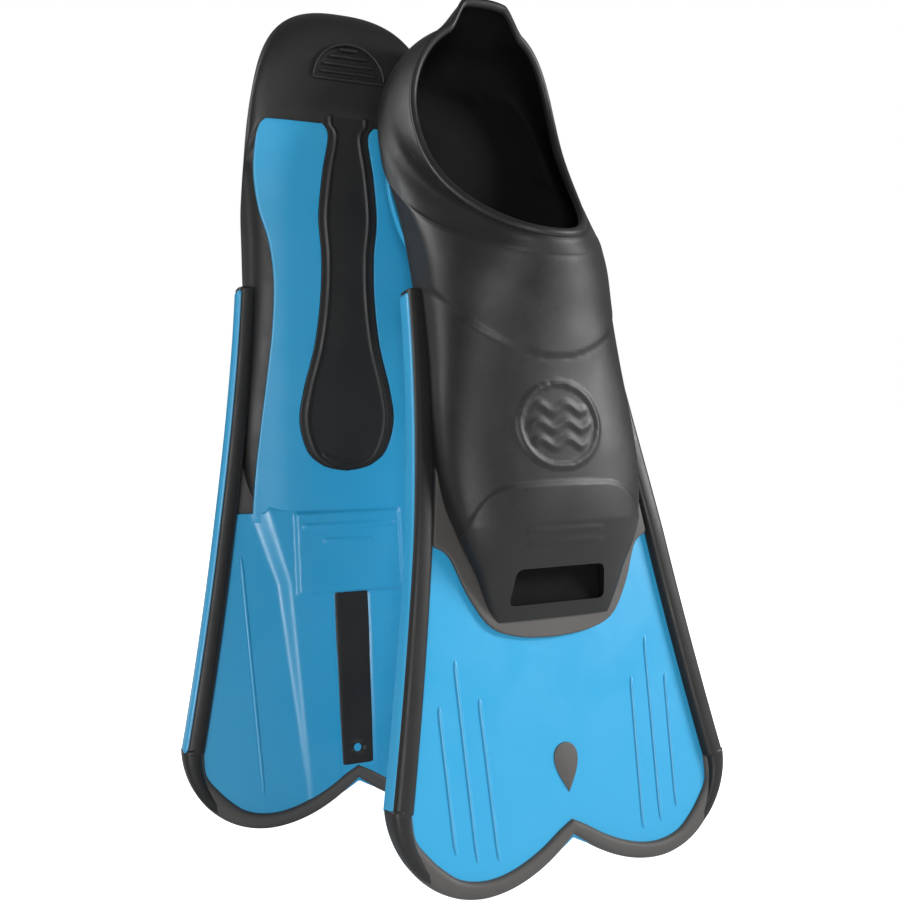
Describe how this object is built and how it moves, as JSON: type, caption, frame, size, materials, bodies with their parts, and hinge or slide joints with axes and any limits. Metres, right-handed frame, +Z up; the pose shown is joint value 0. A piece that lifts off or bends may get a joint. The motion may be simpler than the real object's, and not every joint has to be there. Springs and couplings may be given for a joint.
{
  "type": "swim fins",
  "caption": "Pair of short full-foot swim fins with open-toe rubber foot pockets, stiff side rails and notched two-lobed blades, standing on their tips.",
  "frame": {"origin": "on the floor under the middle of the pair's box", "axes": "+Z up, along the fins from blade tip to heel; +X across the right fin's blade; -Y towards the side that the right fin's top faces"},
  "size_m": [0.237, 0.1934, 0.424],
  "materials": {
    "blue_plastic": "moulded polypropylene in light blue, satin gloss with faint flow marks and fine scuffs",
    "black_rubber": "black thermoplastic rubber, satin with a soft sheen and a very fine moulded grain",
    "grey_rubber": "dark warm-grey thermoplastic rubber, matt, on the toe apron and the blade's edge"
  },
  "bodies": {
    "right_fin": {"right_sole_frame": "blue_plastic", "right_foot_pocket": "black_rubber", "right_toe_apron": "grey_rubber", "right_sole_pad": "black_rubber", "right_heel_grip": "black_rubber", "right_outer_rail": "black_rubber", "right_inner_rail": "black_rubber"},
    "right_blade_end": {"right_blade": "blue_plastic", "right_outer_blade_rail": "black_rubber", "right_inner_blade_rail": "black_rubber", "right_tip_trim": "grey_rubber", "right_centre_strip": "black_rubber", "right_blade_badge": "grey_rubber"},
    "left_fin": {"left_sole_frame": "blue_plastic", "left_foot_pocket": "black_rubber", "left_toe_apron": "grey_rubber", "left_sole_pad": "black_rubber", "left_heel_grip": "black_rubber", "left_outer_rail": "black_rubber", "left_inner_rail": "black_rubber"},
    "left_blade_end": {"left_blade": "blue_plastic", "left_outer_blade_rail": "black_rubber", "left_inner_blade_rail": "black_rubber", "left_tip_trim": "grey_rubber", "left_centre_strip": "black_rubber", "left_blade_badge": "grey_rubber"}
  },
  "joints": [
    {"name": "left_apart", "type": "slide", "parent": "right_fin", "child": "left_fin", "axis": [0, 1, 0], "range_m": [0, 0.2]},
    {"name": "right_blade_flex", "type": "hinge", "parent": "right_fin", "child": "right_blade_end", "pos_m": [0.02955, -0.07233, 0.10322], "axis": [1, 0, 0], "range_deg": [-15, 15], "stiffness_Nm_per_rad": 12},
    {"name": "left_blade_flex", "type": "hinge", "parent": "left_fin", "child": "left_blade_end", "pos_m": [-0.02874, 0.03394, 0.10417], "axis": [-0.9974, 0.0715, 0], "range_deg": [-15, 15], "stiffness_Nm_per_rad": 12}
  ]
}
